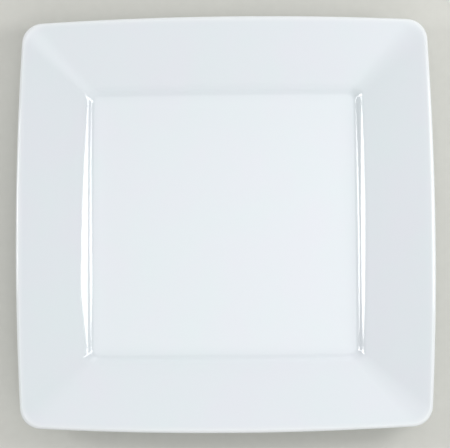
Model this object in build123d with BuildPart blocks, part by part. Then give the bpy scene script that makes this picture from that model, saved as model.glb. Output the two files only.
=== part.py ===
"""Square dinner plate: a pressed porcelain body and the two separate coats of glaze fired on to it.

Sizes are in millimetres and degrees, and are those of the finished, glazed plate. The plate stands on
its foot at Z = 0, centred on the Z axis, with the middles of its sides on the X and Y axes.
"""

import os
from collections import namedtuple
from math import asin, atan2, cos, hypot, pi, radians, sin, sqrt, tan

from build123d import *

# Overall, across the middles of opposite sides. A bow is how far a side swells past its corners.
PLATE_SIZE = 270.0
PLATE_HEIGHT = 25.0

# The sloping rim and its lip, which keeps a narrow flat between its two rounds.
RIM_WIDTH = 44.6
RIM_THICKNESS = 4.5
LIP_FLAT = 0.3
LIP_BOW = 4.1
LIP_CORNER = 13.7

# The step from the well up to the rim: a hollow cove, a short straight and a round shoulder.
STEP_ANGLE = 40.0
STEP_STRAIGHT = 0.2
STEP_BOW = 0.8
COVE_RADIUS = 6.0
SHOULDER_REACH = 2.9
SHOULDER_CORNER = 6.0

# The flat well floor and the recess under it.
BASE_THICKNESS = 5.0
FLOOR_CORNER = 3.0
RECESS_DEPTH = 3.0
RECESS_RADIUS = 2.0
RECESS_CORNER = 1.8

# The foot ring, set in from the foot of the step so that one plate stacks in the well of another.
FOOT_INSET = 4.0
FOOT_WIDTH = 4.4
FOOT_SPLAY = 25.0
FOOT_CORNER = 9.0
FOOT_RADIUS = 1.2
HEEL_RADIUS = 6.0

# The glaze, and the height on the foot below which the body is left bare.
GLAZE = 0.3
BARE = 0.0
GLAZE_LINE = 1.4

SIDES = 4
QUARTER_TURN = 90.0
LEVEL_BAND = 0.001
TABLE = 0.0
HOLLOW = 1
OUTWARD = -1

# Places along the step, from the shoulder back to the well.
step_angle = radians(STEP_ANGLE)
cove_reach = COVE_RADIUS * tan(step_angle / 2)
step_length = cove_reach + STEP_STRAIGHT + SHOULDER_REACH
lip_half = PLATE_SIZE / 2
shoulder_half = lip_half - RIM_WIDTH
well_half = shoulder_half - step_length * cos(step_angle)
well_height = RECESS_DEPTH + BASE_THICKNESS
shoulder_height = well_height + step_length * sin(step_angle)

# The rim leaves the shoulder and touches the lip's round, whose top is at the plate's height.
lip_radius = (RIM_THICKNESS - LIP_FLAT) / 2
touch_run = RIM_WIDTH - lip_radius
touch_rise = PLATE_HEIGHT - lip_radius - shoulder_height
rim_slope = atan2(touch_rise, touch_run) + asin(lip_radius / hypot(touch_run, touch_rise))
lip_height = shoulder_height + RIM_WIDTH * tan(rim_slope)
shoulder_radius = SHOULDER_REACH / tan((step_angle - rim_slope) / 2)

# The underside runs parallel to the rim until it meets the foot's splayed side at the heel.
foot_splay = radians(FOOT_SPLAY)
foot_half = well_half - FOOT_INSET
lip_under_height = lip_height - RIM_THICKNESS / cos(rim_slope)
under_at_foot = lip_under_height - (lip_half - foot_half) * tan(rim_slope)
heel_height = under_at_foot / (1 - tan(foot_splay) * tan(rim_slope))
recess_taper = RECESS_DEPTH * tan(foot_splay)
recess_half = foot_half - FOOT_WIDTH - recess_taper
recess_reach = RECESS_RADIUS * tan((pi / 2 - foot_splay) / 2)

# A corner of the profile, carried round the plate as a bowed square and then rounded over.
Ring = namedtuple("Ring", "half bow corner height rounding bend")


def grown(ring, distance):
    """The ring whose outline runs parallel to this one, further out by the distance."""
    reach = ring.half - ring.bow
    side_radius = (reach**2 + ring.bow**2) / (2 * ring.bow) + distance
    half = ring.half + distance
    side_centre = half - side_radius
    reach = (side_centre + sqrt(2 * side_radius**2 - side_centre**2)) / 2
    return ring._replace(half=half, bow=half - reach, corner=ring.corner + distance)


well = Ring(well_half, STEP_BOW, FLOOR_CORNER + cove_reach, well_height, COVE_RADIUS, HOLLOW)
shoulder = Ring(shoulder_half, STEP_BOW, SHOULDER_CORNER, shoulder_height, shoulder_radius, OUTWARD)
lip_top = Ring(lip_half, LIP_BOW, LIP_CORNER, lip_height, lip_radius, OUTWARD)
lip_under = lip_top._replace(height=lip_under_height)
foot_outer = Ring(foot_half, STEP_BOW, FOOT_CORNER, TABLE, FOOT_RADIUS, OUTWARD)
heel = grown(foot_outer, heel_height * tan(foot_splay))
heel = heel._replace(height=heel_height, rounding=HEEL_RADIUS, bend=HOLLOW)
recess = Ring(recess_half, STEP_BOW, RECESS_CORNER + recess_reach, RECESS_DEPTH, RECESS_RADIUS, HOLLOW)
foot_inner = grown(recess, recess_taper)
foot_inner = foot_inner._replace(height=TABLE, rounding=FOOT_RADIUS, bend=OUTWARD)

# The finished profile from the well outwards, over the lip and under to the recess, and the coat on
# each of its runs: the floor, the step, the rim, the lip, the underside, the foot and the recess.
FINISHED = (well, shoulder, lip_top, lip_under, heel, foot_outer, foot_inner, recess)
COATS = (GLAZE, GLAZE, GLAZE, GLAZE, GLAZE, GLAZE, BARE, GLAZE, GLAZE)


def under_the_glaze(rings, coats):
    """The profile with each run moved inwards by its coat; the new corners are where moved runs cross."""
    points = [Vector(ring.half, ring.height) for ring in rings]
    points = [Vector(0, rings[0].height), *points, Vector(0, rings[-1].height)]
    inward = []
    for start, end in zip(points, points[1:]):
        run = (end - start).normalized()
        inward.append(Vector(run.Y, -run.X))
    moved = []
    for place, ring in enumerate(rings):
        before, after = inward[place], inward[place + 1]
        coat_before, coat_after = coats[place], coats[place + 1]
        cross = before.X * after.Y - before.Y * after.X
        outwards = (coat_before * after.Y - coat_after * before.Y) / cross
        upwards = (coat_after * before.X - coat_before * after.X) / cross
        rounding = ring.rounding + ring.bend * min(coat_before, coat_after)
        ring = grown(ring, outwards)
        moved.append(ring._replace(height=ring.height + upwards, rounding=rounding))
    return moved


def outline(ring):
    """A square with four equal arcs for sides and rounded corners."""
    reach = ring.half - ring.bow
    with BuildSketch() as square:
        with BuildLine():
            for side in range(SIDES):
                turn = side * QUARTER_TURN
                start = Vector(reach, -reach).rotate(Axis.Z, turn)
                middle = Vector(ring.half, 0).rotate(Axis.Z, turn)
                end = Vector(reach, reach).rotate(Axis.Z, turn)
                ThreePointArc(start, middle, end)
        make_face()
        fillet(square.vertices(), ring.corner)
    return square.sketch


def plate_form(rings):
    """The solid inside a profile: the outside, less the well and the recess, with its corners rounded."""
    well, shoulder, lip_top, lip_under, heel, foot_outer, foot_inner, recess = rings
    with BuildPart() as form:
        for ring in (foot_outer, heel, lip_under, lip_top):
            with BuildSketch(Plane.XY.offset(ring.height)):
                add(outline(ring))
        loft(ruled=True)
        for ring in (well, shoulder, lip_top):
            with BuildSketch(Plane.XY.offset(ring.height)):
                add(outline(ring))
        loft(ruled=True, mode=Mode.SUBTRACT)
        for ring in (foot_inner, recess):
            with BuildSketch(Plane.XY.offset(ring.height)):
                add(outline(ring))
        loft(ruled=True, mode=Mode.SUBTRACT)
        # Both edges of the foot lie on the table, so one rounding takes them both.
        for ring in (well, shoulder, lip_top, lip_under, heel, foot_outer, recess):
            low, high = ring.height - LEVEL_BAND, ring.height + LEVEL_BAND
            fillet(form.edges().filter_by_position(Axis.Z, low, high), ring.rounding)
    return form.part


finished_plate = plate_form(FINISHED)

with BuildPart() as porcelain_body:
    add(plate_form(under_the_glaze(FINISHED, COATS)))

# The bare band round the foot parts the glaze into two coats, the larger one over the face.
with BuildPart() as glaze:
    add(finished_plate)
    add(porcelain_body.part, mode=Mode.SUBTRACT)
    Box(PLATE_SIZE, PLATE_SIZE, GLAZE_LINE, align=(Align.CENTER, Align.CENTER, Align.MIN), mode=Mode.SUBTRACT)
coats_by_size = glaze.solids().sort_by(SortBy.VOLUME)

with BuildPart() as face_glaze:
    add(coats_by_size[-1])

with BuildPart() as recess_glaze:
    add(coats_by_size[0])

porcelain_body.part.label = "porcelain_body"
face_glaze.part.label = "face_glaze"
recess_glaze.part.label = "recess_glaze"

os.makedirs("parts", exist_ok=True)
export_step(porcelain_body.part, "parts/porcelain_body.step")
export_step(face_glaze.part, "parts/face_glaze.step")
export_step(recess_glaze.part, "parts/recess_glaze.step")
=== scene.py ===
"""The square dinner plate's finish, lights and camera, in metres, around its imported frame."""

from collections import namedtuple
from math import asin, atan2, cos, hypot, pi, radians, sin, sqrt, tan

import bpy
import numpy as np
from mathutils import Matrix, Vector, noise


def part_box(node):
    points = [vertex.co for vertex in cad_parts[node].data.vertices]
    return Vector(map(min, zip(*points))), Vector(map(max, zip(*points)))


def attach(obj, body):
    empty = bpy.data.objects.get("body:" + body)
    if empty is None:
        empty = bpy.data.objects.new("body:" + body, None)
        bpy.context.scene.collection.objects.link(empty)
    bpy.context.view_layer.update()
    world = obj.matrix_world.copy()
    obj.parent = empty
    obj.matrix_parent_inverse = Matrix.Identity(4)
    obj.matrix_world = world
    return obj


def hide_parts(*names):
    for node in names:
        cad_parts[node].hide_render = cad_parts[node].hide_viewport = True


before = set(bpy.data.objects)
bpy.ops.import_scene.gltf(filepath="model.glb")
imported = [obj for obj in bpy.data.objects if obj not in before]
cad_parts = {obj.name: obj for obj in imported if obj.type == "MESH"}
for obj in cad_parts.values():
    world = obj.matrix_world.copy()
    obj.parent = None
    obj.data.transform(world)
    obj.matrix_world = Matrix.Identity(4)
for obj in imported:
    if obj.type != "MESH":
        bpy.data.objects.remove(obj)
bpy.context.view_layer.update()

MM = 0.001

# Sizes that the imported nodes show.
glaze_low, glaze_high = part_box("face_glaze")
_, body_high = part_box("porcelain_body")
LIP_HALF = glaze_high.x
GLAZE = glaze_high.x - body_high.x
GLAZE_LINE = glaze_low.z

# The rest of the plate's sizes, as they were modelled.
PLATE_HEIGHT = 25.0 * MM
RIM_WIDTH = 44.6 * MM
RIM_THICKNESS = 4.5 * MM
LIP_FLAT = 0.3 * MM
LIP_BOW = 4.1 * MM
LIP_CORNER = 13.7 * MM
STEP_ANGLE = radians(40.0)
STEP_STRAIGHT = 0.2 * MM
STEP_BOW = 0.8 * MM
COVE_RADIUS = 6.0 * MM
SHOULDER_REACH = 2.9 * MM
SHOULDER_CORNER = 6.0 * MM
BASE_THICKNESS = 5.0 * MM
FLOOR_CORNER = 3.0 * MM
RECESS_DEPTH = 3.0 * MM
RECESS_RADIUS = 2.0 * MM
RECESS_CORNER = 1.8 * MM
FOOT_INSET = 4.0 * MM
FOOT_WIDTH = 4.4 * MM
FOOT_SPLAY = radians(25.0)
FOOT_CORNER = 9.0 * MM
FOOT_RADIUS = 1.2 * MM
HEEL_RADIUS = 6.0 * MM
TABLE = 0.0

# Mesh density: steps round half a corner, along a side, and over each round and run of the profile.
SIDES = 4
CORNER_STEPS = 8
SIDE_STEPS = 40
QUARTER_STEPS = SIDE_STEPS + 2 * CORNER_STEPS
STEP_ROUND_STEPS = 14
LIP_ROUND_STEPS = 10
FOOT_ROUND_STEPS = 6
RIM_STEPS = 20
SWEEP_STEPS = 10
UNDERSIDE_STEPS = 16
BEAD_STEPS = 8
SHORT_STEPS = 2

# How the kiln leaves the plate a little uneven. A seed picks one run of uneven values.
WARP_WAVES_PER_METRE = 9.0
MOULD_SHIFT = np.array([-0.95, 0.35, 0.0]) * MM
RIM_SAG = 0.35 * MM
SAG_SEED = 7.0
LIP_WANDER = 0.3 * MM
LIP_SEED = 11.0
FLOOR_SAG = 0.25 * MM
SWEEP_WIDTH = 8.0 * MM
ROOF_SAG = 0.15 * MM

# How the glaze ends at the foot, pools in hollows and thins on the lip, in shares of the usual coat.
LINE_WAVES_PER_METRE = 55.0
LINE_WANDER = 0.25 * MM
LINE_SEED = 3.0
BEAD_LENGTH = 0.6 * MM
USUAL_COAT = 1.0
POOL_REACH = 5.0 * MM
POOL_DEPTH = 0.35
THIN_REACH = 2.0 * MM
THIN_LOSS = 0.3

# Colours, and how much of its tint the glaze takes where it pools and where it thins. The lip's tint is paler
# than thin glaze alone would make it: partly thin glaze, partly a painted highlight along the lip.
GLAZE_WHITE = (0.798, 0.862, 0.887)
GLAZE_SHADE = (0.814, 0.844, 0.890)
POOL_TINT = (0.70, 0.78, 0.81)
POOL_SHARE = 0.2
# Painted highlight: the lip's paler tint is partly thin glaze and partly painted light along the lip's round.
LIP_PALE_AND_PAINTED_HIGHLIGHT = (0.93, 0.95, 0.95)
LIP_PALE_AND_HIGHLIGHT_SHARE = 0.6
BODY_PALE = (0.74, 0.71, 0.66)
BODY_DARK = (0.66, 0.63, 0.58)
PAPER_PALE = (0.70, 0.70, 0.655)
PAPER_DARK = (0.68, 0.68, 0.635)

# Noises, each with its waves per metre and its detail, and the spans that hold most of their values.
CLOUD = (28.0, 3.0)
GLOSS = (14.0, 4.0)
PEEL = (320.0, 2.0)
GRAIN = (1500.0, 4.0)
FIBRE = (160.0, 5.0)
NOISE_SPAN = (0.3, 0.7)
GRAIN_SPAN = (0.35, 0.65)
WHOLE_SPAN = (0.0, 1.0)

# Finishes: roughness, reliefs with their strength and depth, and how strongly the glaze bends light.
GLAZE_ROUGHNESS = (0.02, 0.045)
BODY_ROUGHNESS = (0.6, 0.85)
PAPER_ROUGHNESS = 0.9
PEEL_RELIEF = (0.12, 0.03 * MM)
GRAIN_RELIEF = (0.4, 0.08 * MM)
FIBRE_RELIEF = (0.2, 0.05 * MM)
GLAZE_IOR = 1.6

# The sheet of paper, a hair below the foot so that the two don't share a plane.
PAPER_HALF = 3.0
PAPER_HEIGHT = TABLE - 0.05 * MM

# The oval lamp at the left and the dim card at the front.
Lamp = namedtuple("Lamp", "facing place width height roll radiance")
NO_ROLL = 0.0
TO_THE_LEFT = Vector((-1.0, 0.0, 0.0))
TO_THE_RIGHT = Vector((1.0, 0.0, 0.0))
TO_THE_BACK = Vector((-0.15, 0.9, -0.3))
LAMPS = {
    "left_softbox": Lamp(TO_THE_RIGHT, Vector((-1.0, 0.163, 0.675)), 0.224, 0.74, radians(12.0), 7.5),
    "front_card": Lamp(TO_THE_BACK, Vector((0.16, -0.37, 0.23)), 0.90, 0.26, NO_ROLL, 0.32),
}
SHARE_OF_BOX = {"ELLIPSE": pi / 4, "RECTANGLE": 1.0}

# The lamp at the right: a half dome in level strips, with a straight foot, a straight front and a round back.
DOME_DISTANCE = 0.48
DOME_FOOT = 0.228
DOME_HEIGHT = 0.73
DOME_FRONT = -0.036
DOME_PEAK = 0.062
DOME_BACK = 0.192
DOME_STRIPS = 8
DOME_RADIANCE = 6.0

# The room: a dim light all round, and the paler patches of it.
Patch = namedtuple("Patch", "middle spread strength")
ROOM_LIGHT = 0.165
ROOM_COLOUR = (1.0, 1.0, 1.0, 1.0)
WALL_SPREAD = radians(58.0)
PATCHES = {
    "ceiling": Patch(Vector((0.06, 0.04, 1.0)), radians(21.0), 1.3),
    "back_wall": Patch(Vector((-0.2, 1.0, 0.45)), WALL_SPREAD, 0.64),
    "back_low": Patch(Vector((0.4, 1.0, 0.2)), radians(32.0), 1.1),
    "left_wall": Patch(Vector((-1.0, 0.0, 0.6)), WALL_SPREAD, 0.20),
    "front_corner": Patch(Vector((0.35, -0.75, 0.75)), WALL_SPREAD, 0.83),
}

# The camera, turned about the point that it looks at.
CAMERA_DISTANCE = 1.5
CAMERA_TILT = radians(6.997)
CAMERA_LEAN = radians(2.103)
CAMERA_ROLL = radians(-0.548)
CAMERA_AIM = Vector((-0.777 * MM, 1.727 * MM, 0.0))
FOCAL_PIXELS = 2299.7
IMAGE_WIDTH = 450

UP = np.array([0.0, 0.0, 1.0])
DOWN = -UP

# Places along the profile that follow from the sizes.
cove_reach = COVE_RADIUS * tan(STEP_ANGLE / 2)
step_length = cove_reach + STEP_STRAIGHT + SHOULDER_REACH
shoulder_half = LIP_HALF - RIM_WIDTH
well_half = shoulder_half - step_length * cos(STEP_ANGLE)
foot_half = well_half - FOOT_INSET
well_height = RECESS_DEPTH + BASE_THICKNESS
shoulder_height = well_height + step_length * sin(STEP_ANGLE)
lip_radius = (RIM_THICKNESS - LIP_FLAT) / 2
touch_run = RIM_WIDTH - lip_radius
touch_rise = PLATE_HEIGHT - lip_radius - shoulder_height
rim_slope = atan2(touch_rise, touch_run) + asin(lip_radius / hypot(touch_run, touch_rise))
lip_height = shoulder_height + RIM_WIDTH * tan(rim_slope)
shoulder_radius = SHOULDER_REACH / tan((STEP_ANGLE - rim_slope) / 2)
lip_under_height = lip_height - RIM_THICKNESS / cos(rim_slope)
under_at_foot = lip_under_height - (LIP_HALF - foot_half) * tan(rim_slope)
heel_height = under_at_foot / (1 - tan(FOOT_SPLAY) * tan(rim_slope))
heel_taper = heel_height * tan(FOOT_SPLAY)
recess_taper = RECESS_DEPTH * tan(FOOT_SPLAY)
recess_half = foot_half - FOOT_WIDTH - recess_taper
recess_corner = RECESS_CORNER + RECESS_RADIUS * tan((pi / 2 - FOOT_SPLAY) / 2)
floor_half = well_half - cove_reach - SWEEP_WIDTH
sweep_slope = 2 * FLOOR_SAG / SWEEP_WIDTH


def unit(vectors):
    """Each row of vectors made one long."""
    return vectors / np.linalg.norm(vectors, axis=-1, keepdims=True)


def level(vectors):
    """The part of each vector that lies along the table."""
    return vectors * np.array([1.0, 1.0, 0.0])


def outline(half, bow, corner, height, grow=0.0):
    """Points round a square with bowed sides, from the middle of one corner on, moved outwards by grow."""
    reach = half - bow
    side_radius = (reach**2 + bow**2) / (2 * bow)
    side_centre = half - side_radius
    corner_centre = (side_centre + sqrt(2 * (side_radius - corner) ** 2 - side_centre**2)) / 2
    touch = atan2(corner_centre, corner_centre - side_centre)
    out_of_corner = np.linspace(-pi / 4, -touch, CORNER_STEPS, endpoint=False)
    along_side = np.linspace(-touch, touch, SIDE_STEPS, endpoint=False)
    into_corner = np.linspace(touch, pi / 4, CORNER_STEPS, endpoint=False)
    quarter = np.concatenate([
        corner_centre * (1 - 1j) + (corner + grow) * np.exp(1j * out_of_corner),
        side_centre + (side_radius + grow) * np.exp(1j * along_side),
        corner_centre * (1 + 1j) + (corner + grow) * np.exp(1j * into_corner),
    ])
    points = np.concatenate([quarter * 1j**turn for turn in range(SIDES)])
    return np.column_stack([points.real, points.imag, np.full(len(points), height)])


def rounded(before, corner, after, radius, steps):
    """Rows of points on the round that touches the runs from before to corner and from corner to after."""
    to_before = unit(before - corner)
    to_after = unit(after - corner)
    half_angle = np.arccos(np.sum(to_before * to_after, axis=-1, keepdims=True)) / 2
    centre = corner + unit(to_before + to_after) * radius / np.sin(half_angle)
    start = corner + to_before * radius / np.tan(half_angle) - centre
    end = corner + to_after * radius / np.tan(half_angle) - centre
    sweep = pi - 2 * half_angle
    rows = []
    for share in np.linspace(0, 1, steps + 1):
        turned = np.sin((1 - share) * sweep) * start + np.sin(share * sweep) * end
        rows.append(centre + turned / np.sin(sweep))
    return rows


def straight(start, end, steps):
    """Rows of points strictly between two rows."""
    return [start + (end - start) * step / steps for step in range(1, steps)]


def swept(floor_edge, cove_start):
    """Rows of points where the sagging floor curves up, ever more steeply, to the start of the cove."""
    rows = []
    for share in np.linspace(0, 1, SWEEP_STEPS, endpoint=False):
        row = floor_edge + (cove_start - floor_edge) * share
        row[:, 2] = cove_start[:, 2] - FLOOR_SAG * (1 - share**2)
        rows.append(row)
    return rows


def at_height(start, end, height):
    """The row where the runs from start to end reach the height, which may differ from run to run."""
    share = (height - start[:, 2]) / (end[:, 2] - start[:, 2])
    return start + (end - start) * share[:, None]


def wander(points, waves_per_metre, seed):
    """A smooth uneven value from 0 to 1 at each point."""
    offset = Vector((seed, seed, seed))
    values = [noise.noise(Vector(p) * waves_per_metre + offset) for p in points.reshape(-1, 3)]
    return 0.5 + 0.5 * np.array(values).reshape(points.shape[:-1])


def finished_rows():
    """The glazed plate's surface in rows of points, from the well over the lip and under to the recess.

    Also gives the place among the rows where each named run of the profile starts.
    """
    well = outline(well_half, STEP_BOW, FLOOR_CORNER + cove_reach, well_height)
    shoulder = outline(shoulder_half, STEP_BOW, SHOULDER_CORNER, shoulder_height)
    lip_top = outline(LIP_HALF, LIP_BOW, LIP_CORNER, lip_height)
    lip_under = outline(LIP_HALF, LIP_BOW, LIP_CORNER, lip_under_height)
    heel = outline(foot_half, STEP_BOW, FOOT_CORNER, heel_height, grow=heel_taper)
    foot_outer = outline(foot_half, STEP_BOW, FOOT_CORNER, TABLE)
    foot_inner = outline(recess_half, STEP_BOW, recess_corner, TABLE, grow=recess_taper)
    recess = outline(recess_half, STEP_BOW, recess_corner, RECESS_DEPTH)
    floor_inside = well + unit(level(well - shoulder)) + DOWN * sweep_slope
    roof_inside = recess + level(recess - foot_inner)

    cove = rounded(floor_inside, well, shoulder, COVE_RADIUS, STEP_ROUND_STEPS)
    floor_edge = outline(floor_half, STEP_BOW, FLOOR_CORNER, cove[0][0, 2])
    shoulder_round = rounded(well, shoulder, lip_top, shoulder_radius, STEP_ROUND_STEPS)
    lip_upper = rounded(shoulder, lip_top, lip_under, lip_radius, LIP_ROUND_STEPS)
    lip_lower = rounded(lip_top, lip_under, heel, lip_radius, LIP_ROUND_STEPS)
    heel_round = rounded(lip_under, heel, foot_outer, HEEL_RADIUS, FOOT_ROUND_STEPS)
    foot_outside = rounded(heel, foot_outer, foot_inner, FOOT_RADIUS, FOOT_ROUND_STEPS)
    foot_inside = rounded(foot_outer, foot_inner, recess, FOOT_RADIUS, FOOT_ROUND_STEPS)
    recess_round = rounded(foot_inner, recess, roof_inside, RECESS_RADIUS, FOOT_ROUND_STEPS)
    line_height = GLAZE_LINE + LINE_WANDER * wander(heel, LINE_WAVES_PER_METRE, LINE_SEED)
    outer_line = at_height(heel_round[-1], foot_outside[0], line_height)
    inner_line = at_height(foot_inside[-1], recess_round[0], line_height)

    rows = []
    places = {}

    def lay(name, new_rows):
        places[name] = len(rows)
        rows.extend(new_rows)

    lay("floor", swept(floor_edge, cove[0]))
    lay("cove", cove)
    lay("step", straight(cove[-1], shoulder_round[0], SHORT_STEPS))
    lay("shoulder", shoulder_round)
    lay("rim", straight(shoulder_round[-1], lip_upper[0], RIM_STEPS))
    lay("lip", lip_upper)
    lay("lip_lower", lip_lower)
    lay("underside", straight(lip_lower[-1], heel_round[0], UNDERSIDE_STEPS))
    lay("heel", heel_round)
    lay("bead", straight(heel_round[-1], outer_line, BEAD_STEPS))
    lay("outer_line", [outer_line])
    lay("foot_wall", straight(outer_line, foot_outside[0], SHORT_STEPS))
    lay("foot_outside", foot_outside)
    lay("land", straight(foot_outside[-1], foot_inside[0], SHORT_STEPS))
    lay("foot_inside", foot_inside)
    lay("recess_wall", straight(foot_inside[-1], inner_line, SHORT_STEPS))
    lay("inner_line", [inner_line])
    lay("recess_bead", straight(inner_line, recess_round[0], BEAD_STEPS))
    lay("recess", recess_round)
    return np.array(rows), places


def fired(rows, lip):
    """The rows after pressing and firing: the well lies a little off centre, and the rim sags and wanders."""
    plan = np.abs(rows[..., :2]).max(axis=-1)
    share = np.clip((plan - shoulder_half) / RIM_WIDTH, 0, 1)[..., None]
    flat = level(rows)
    sag = RIM_SAG * wander(flat, WARP_WAVES_PER_METRE, SAG_SEED)[..., None] * share
    drawn_in = LIP_WANDER * wander(flat, WARP_WAVES_PER_METRE, LIP_SEED)[..., None] * share
    rows = rows - sag * UP - drawn_in * unit(flat)
    rows[:lip] += MOULD_SHIFT * (1 - share[:lip])
    return rows


def row_normals(rows):
    """Outward directions at the points of the rows."""
    along = np.roll(rows, -1, axis=1) - np.roll(rows, 1, axis=1)
    steps = unit(np.diff(rows, axis=0))
    across = np.concatenate([steps[:1], steps[:-1] + steps[1:], steps[-1:]])
    normals = unit(np.cross(across, along))
    normals[0] = UP
    normals[-1] = DOWN
    return normals


def distances(rows):
    """How far along the profile each row is from the first, on the middle of a side."""
    middle = rows[:, QUARTER_STEPS // 2]
    return np.concatenate([[0.0], np.cumsum(np.linalg.norm(np.diff(middle, axis=0), axis=1))])


def glaze_depths(rows, places):
    """How thick the glaze is on each row, as a share of the usual coat."""
    along = distances(rows)

    def near(start, end, reach):
        middle = (along[places[start]] + along[places[end] - 1]) / 2
        return np.exp(-(((along - middle) / reach) ** 2))

    pooled = near("cove", "step", POOL_REACH) + near("heel", "bead", POOL_REACH)
    thinned_and_highlit = near("lip", "lip_lower", THIN_REACH)
    return USUAL_COAT + POOL_DEPTH * pooled - THIN_LOSS * thinned_and_highlit


def beaded(rows, line):
    """The share of the full coat on each row, which rounds off to nothing at the glaze line."""
    away = np.clip(np.linalg.norm(rows - rows[line], axis=-1) / BEAD_LENGTH, 0, 1)
    return np.sqrt(1 - (1 - away) ** 2)


def under_the_glaze(rows, normals, places):
    """The body's rows: under the glaze all over, except that the ground foot comes out flush."""
    covered = np.ones(len(rows))
    rounding = np.linspace(1, 0, FOOT_ROUND_STEPS + 1)
    covered[places["foot_outside"]:places["land"]] = rounding
    covered[places["land"]:places["foot_inside"]] = 0
    covered[places["foot_inside"]:places["recess_wall"]] = rounding[::-1]
    return rows - normals * (GLAZE * covered)[:, None, None]


class Surface:
    """Vertices and faces of one closed piece, gathered from rings of points and the flats that close them."""

    def __init__(self):
        self.points = []
        self.faces = []
        self.depths = []

    def add(self, points, depth):
        """New vertices with one depth of glaze, and their numbers."""
        first = len(self.points)
        self.points.extend(map(tuple, points))
        self.depths.extend([depth] * len(points))
        return np.arange(first, len(self.points))

    def add_rows(self, rows, depths):
        """New vertices for rows of points, each row with its own depth of glaze."""
        return np.array([self.add(row, depth) for row, depth in zip(rows, depths)])

    def skin(self, index, inside_out=False):
        """Quads between neighbouring rows of a ring-shaped surface."""
        right = np.roll(index, -1, axis=1)
        quads = np.stack([index[:-1], index[1:], right[1:], right[:-1]], axis=-1)
        self.keep(quads, inside_out)

    def flat(self, loop, bulge=0.0, inside_out=False):
        """A square net of quads inside a ring, swelling or sinking by the bulge in its middle."""
        steps = QUARTER_STEPS
        loop = np.append(loop, loop[0])
        ring = np.array([self.points[i] for i in loop])
        right, top, left, bottom = (slice(side * steps, (side + 1) * steps + 1) for side in range(SIDES))
        share = np.linspace(0, 1, steps + 1)
        u, v = share[:, None, None], share[None, :, None]
        low, high = ring[bottom][:, None], ring[top][::-1][:, None]
        near, far = ring[left][::-1][None], ring[right][None]
        corners = (1 - u) * ((1 - v) * low[:1] + v * high[:1]) + u * ((1 - v) * low[-1:] + v * high[-1:])
        net = (1 - v) * low + v * high + (1 - u) * near + u * far - corners
        # The hump is nothing at the ring and one in the middle.
        hump = 4 * share * (1 - share)
        net[..., 2] += bulge * np.outer(hump, hump)
        index = np.zeros((steps + 1, steps + 1), int)
        inner = net[1:-1, 1:-1].reshape(-1, 3)
        index[1:-1, 1:-1] = self.add(inner, USUAL_COAT).reshape(steps - 1, steps - 1)
        index[:, 0] = loop[bottom]
        index[:, -1] = loop[top][::-1]
        index[0] = loop[left][::-1]
        index[-1] = loop[right]
        quads = np.stack([index[:-1, :-1], index[1:, :-1], index[1:, 1:], index[:-1, 1:]], axis=-1)
        self.keep(quads, inside_out)

    def keep(self, quads, inside_out):
        """New faces, turned over where they look the other way."""
        quads = quads.reshape(-1, 4)
        self.faces.extend(map(tuple, quads[:, ::-1] if inside_out else quads))

    def piece(self, name, material):
        """The finished object."""
        mesh = bpy.data.meshes.new(name)
        mesh.from_pydata(self.points, [], self.faces)
        mesh.shade_smooth()
        depth = mesh.attributes.new("glaze_depth", "FLOAT", "POINT")
        depth.data.foreach_set("value", self.depths)
        mesh.materials.append(material)
        piece = bpy.data.objects.new(name, mesh)
        bpy.context.scene.collection.objects.link(piece)
        return piece


def shader(name):
    """A new material, its nodes and its surface shader."""
    material = bpy.data.materials.new(name)
    material.use_nodes = True
    return material, material.node_tree, material.node_tree.nodes["Principled BSDF"]


def noise_texture(tree, waves_per_metre, detail):
    """Noise over the piece's own coordinates."""
    place = tree.nodes.new("ShaderNodeTexCoord")
    texture = tree.nodes.new("ShaderNodeTexNoise")
    texture.inputs["Scale"].default_value = waves_per_metre
    texture.inputs["Detail"].default_value = detail
    tree.links.new(place.outputs["Object"], texture.inputs["Vector"])
    return texture.outputs["Fac"]


def mapped(tree, value, old_span, new_span):
    """A value carried from one span to another."""
    node = tree.nodes.new("ShaderNodeMapRange")
    sockets = ("From Min", "From Max", "To Min", "To Max")
    for socket, number in zip(sockets, (*old_span, *new_span)):
        node.inputs[socket].default_value = number
    tree.links.new(value, node.inputs["Value"])
    return node.outputs["Result"]


def mixed(tree, share, first, second):
    """A colour between two, each a linked socket or plain red, green and blue."""
    node = tree.nodes.new("ShaderNodeMix")
    node.data_type = "RGBA"
    colours = [socket for socket in node.inputs if socket.type == "RGBA"]
    tree.links.new(share, node.inputs["Factor"])
    for socket, colour in zip(colours, (first, second)):
        if isinstance(colour, tuple):
            socket.default_value = (*colour, 1.0)
        else:
            tree.links.new(colour, socket)
    return next(socket for socket in node.outputs if socket.type == "RGBA")


def bumped(tree, height, strength, distance):
    """Small relief from a height."""
    node = tree.nodes.new("ShaderNodeBump")
    node.inputs["Strength"].default_value = strength
    node.inputs["Distance"].default_value = distance
    tree.links.new(height, node.inputs["Height"])
    return node.outputs["Normal"]


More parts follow.
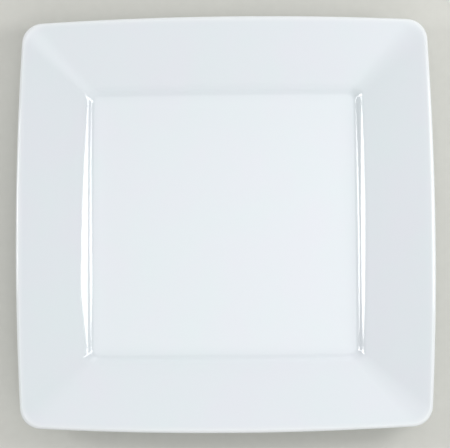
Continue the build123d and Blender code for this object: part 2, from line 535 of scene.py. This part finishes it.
def white_glaze():
    """Clear glass over white porcelain: cool and glossy, deeper where it pools, paler on the lip where it
    thins and where a highlight is painted, with a faint orange peel.
    """
    material, tree, surface = shader("white_glaze")
    cloud = mapped(tree, noise_texture(tree, *CLOUD), NOISE_SPAN, WHOLE_SPAN)
    colour = mixed(tree, cloud, GLAZE_WHITE, GLAZE_SHADE)
    depth = tree.nodes.new("ShaderNodeAttribute")
    depth.attribute_name = "glaze_depth"
    depth = depth.outputs["Fac"]
    pooled = mapped(tree, depth, (USUAL_COAT, USUAL_COAT + POOL_DEPTH), (0.0, POOL_SHARE))
    # Painted highlight: where the glaze thins on the lip, the colour is mixed toward a paler tint, partly
    # real thin glaze and partly painted light.
    thinned_and_highlit = mapped(tree, depth, (USUAL_COAT, USUAL_COAT - THIN_LOSS), (0.0, LIP_PALE_AND_HIGHLIGHT_SHARE))
    colour = mixed(tree, pooled, colour, POOL_TINT)
    colour = mixed(tree, thinned_and_highlit, colour, LIP_PALE_AND_PAINTED_HIGHLIGHT)
    gloss = mapped(tree, noise_texture(tree, *GLOSS), NOISE_SPAN, GLAZE_ROUGHNESS)
    peel = bumped(tree, noise_texture(tree, *PEEL), *PEEL_RELIEF)
    tree.links.new(colour, surface.inputs["Base Color"])
    tree.links.new(gloss, surface.inputs["Roughness"])
    tree.links.new(peel, surface.inputs["Normal"])
    surface.inputs["IOR"].default_value = GLAZE_IOR
    return material


def bare_porcelain():
    """Unglazed fired clay: warm white, matte and finely grained."""
    material, tree, surface = shader("bare_porcelain")
    grain = noise_texture(tree, *GRAIN)
    colour = mixed(tree, mapped(tree, grain, GRAIN_SPAN, WHOLE_SPAN), BODY_PALE, BODY_DARK)
    tree.links.new(colour, surface.inputs["Base Color"])
    tree.links.new(mapped(tree, grain, NOISE_SPAN, BODY_ROUGHNESS), surface.inputs["Roughness"])
    tree.links.new(bumped(tree, grain, *GRAIN_RELIEF), surface.inputs["Normal"])
    return material


def paper():
    """The pale sheet under the plate, with a faint tooth."""
    material, tree, surface = shader("pale_paper")
    fibre = noise_texture(tree, *FIBRE)
    colour = mixed(tree, mapped(tree, fibre, NOISE_SPAN, WHOLE_SPAN), PAPER_PALE, PAPER_DARK)
    tree.links.new(colour, surface.inputs["Base Color"])
    surface.inputs["Roughness"].default_value = PAPER_ROUGHNESS
    tree.links.new(bumped(tree, fibre, *FIBRE_RELIEF), surface.inputs["Normal"])
    return material


def make_body(body_rows):
    """The pressed porcelain under the glaze."""
    surface = Surface()
    index = surface.add_rows(body_rows, np.full(len(body_rows), USUAL_COAT))
    surface.skin(index)
    surface.flat(index[0])
    surface.flat(index[-1], -ROOF_SAG, inside_out=True)
    piece = surface.piece("biscuit", bare_porcelain())
    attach(piece, "root")
    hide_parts("porcelain_body")


def make_face_glaze(body_rows, normals, depths, outer_line, material):
    """The coat from the well over the lip and under to the outer glaze line, where both its sides meet."""
    face = slice(0, outer_line + 1)
    coat = GLAZE * depths[face, None] * beaded(body_rows[face], outer_line)
    surface = Surface()
    outer = surface.add_rows(body_rows[face] + normals[face] * coat[..., None], depths[face])
    inner = surface.add_rows(body_rows[:outer_line], depths[:outer_line])
    inner = np.vstack([inner, outer[-1:]])
    surface.skin(outer)
    surface.flat(outer[0])
    surface.skin(inner, inside_out=True)
    surface.flat(inner[0], inside_out=True)
    piece = surface.piece("glaze_face", material)
    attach(piece, "root")
    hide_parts("face_glaze")


def make_recess_glaze(body_rows, normals, depths, inner_line, material):
    """The coat from the inner glaze line, where both its sides meet, over the recess."""
    under = slice(inner_line, len(body_rows))
    coat = GLAZE * depths[under, None] * beaded(body_rows[under], 0)
    surface = Surface()
    outer = surface.add_rows(body_rows[under] + normals[under] * coat[..., None], depths[under])
    inner = surface.add_rows(body_rows[inner_line + 1:], depths[inner_line + 1:])
    inner = np.vstack([outer[:1], inner])
    surface.skin(outer)
    surface.flat(outer[-1], -ROOF_SAG, inside_out=True)
    surface.skin(inner, inside_out=True)
    surface.flat(inner[-1], -ROOF_SAG)
    piece = surface.piece("glaze_recess", material)
    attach(piece, "root")
    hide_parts("recess_glaze")


def dress_plate():
    """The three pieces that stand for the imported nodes."""
    rows, places = finished_rows()
    rows = fired(rows, places["lip"])
    normals = row_normals(rows)
    depths = glaze_depths(rows, places)
    body_rows = under_the_glaze(rows, normals, places)
    glaze = white_glaze()
    make_body(body_rows)
    make_face_glaze(body_rows, normals, depths, places["outer_line"], glaze)
    make_recess_glaze(body_rows, normals, depths, places["inner_line"], glaze)


def lay_floor():
    """A wide sheet of paper under the plate."""
    mesh = bpy.data.meshes.new("floor")
    square = ((-1, -1), (1, -1), (1, 1), (-1, 1))
    corners = [(x * PAPER_HALF, y * PAPER_HALF, PAPER_HEIGHT) for x, y in square]
    mesh.from_pydata(corners, [], [range(len(corners))])
    mesh.materials.append(paper())
    floor = bpy.data.objects.new("floor", mesh)
    bpy.context.scene.collection.objects.link(floor)


def softbox(name, lamp, shape):
    """A flat lamp, turned by its roll about the way it faces."""
    light = bpy.data.lights.new(name, "AREA")
    light.shape = shape
    light.size = lamp.width
    light.size_y = lamp.height
    light.energy = lamp.radiance * pi * SHARE_OF_BOX[shape] * lamp.width * lamp.height
    box = bpy.data.objects.new(name, light)
    turn = lamp.facing.to_track_quat("-Z", "Y").to_matrix().to_4x4()
    box.matrix_world = Matrix.Translation(lamp.place) @ turn @ Matrix.Rotation(lamp.roll, 4, "Z")
    bpy.context.scene.collection.objects.link(box)


def dome():
    """The lamp at the right, whose strips grow shorter from its foot to its peak."""
    strip = DOME_HEIGHT / DOME_STRIPS
    for step in range(DOME_STRIPS):
        share = (step + 0.5) / DOME_STRIPS
        front = DOME_PEAK - (DOME_PEAK - DOME_FRONT) * (1 - share)
        back = DOME_PEAK + (DOME_BACK - DOME_PEAK) * sqrt(1 - share)
        middle = Vector((DOME_DISTANCE, (front + back) / 2, DOME_FOOT + DOME_HEIGHT * share))
        lamp = Lamp(TO_THE_LEFT, middle, back - front, strip, NO_ROLL, DOME_RADIANCE)
        softbox(f"right_dome_{step}", lamp, "RECTANGLE")


def glow(tree, direction, patch):
    """Light that fades smoothly away from the middle of a pale patch of the room."""
    toward = tree.nodes.new("ShaderNodeVectorMath")
    toward.operation = "DOT_PRODUCT"
    toward.inputs[1].default_value = patch.middle.normalized()
    tree.links.new(direction, toward.inputs[0])
    light = mapped(tree, toward.outputs["Value"], (cos(patch.spread), 1.0), (0.0, patch.strength))
    light.node.interpolation_type = "SMOOTHSTEP"
    return light


def light_room():
    """The pale room and its lamps."""
    world = bpy.data.worlds.new("room")
    world.use_nodes = True
    tree = world.node_tree
    direction = tree.nodes.new("ShaderNodeTexCoord").outputs["Generated"]
    # The first patch is added to the dim light, and each later one to the total before it.
    light = None
    for patch in PATCHES.values():
        total = tree.nodes.new("ShaderNodeMath")
        total.operation = "ADD"
        total.inputs[1].default_value = ROOM_LIGHT
        tree.links.new(glow(tree, direction, patch), total.inputs[0])
        if light:
            tree.links.new(light, total.inputs[1])
        light = total.outputs["Value"]
    background = tree.nodes["Background"]
    background.inputs["Color"].default_value = ROOM_COLOUR
    tree.links.new(light, background.inputs["Strength"])
    bpy.context.scene.world = world
    dome()
    for name, lamp in LAMPS.items():
        softbox(name, lamp, "ELLIPSE")


def set_camera():
    """Almost straight down, from a little towards the front right."""
    camera = bpy.data.cameras.new("camera")
    camera.lens = FOCAL_PIXELS / IMAGE_WIDTH * camera.sensor_width
    tilt = Matrix.Rotation(CAMERA_TILT, 4, "X")
    lean = Matrix.Rotation(CAMERA_LEAN, 4, "Y")
    roll = Matrix.Rotation(CAMERA_ROLL, 4, "Z")
    away = Matrix.Translation((0, 0, CAMERA_DISTANCE))
    holder = bpy.data.objects.new("camera", camera)
    holder.matrix_world = Matrix.Translation(CAMERA_AIM) @ tilt @ lean @ roll @ away
    bpy.context.scene.collection.objects.link(holder)
    bpy.context.scene.camera = holder


dress_plate()
lay_floor()
light_room()
set_camera()
bpy.context.scene.view_settings.view_transform = "Standard"
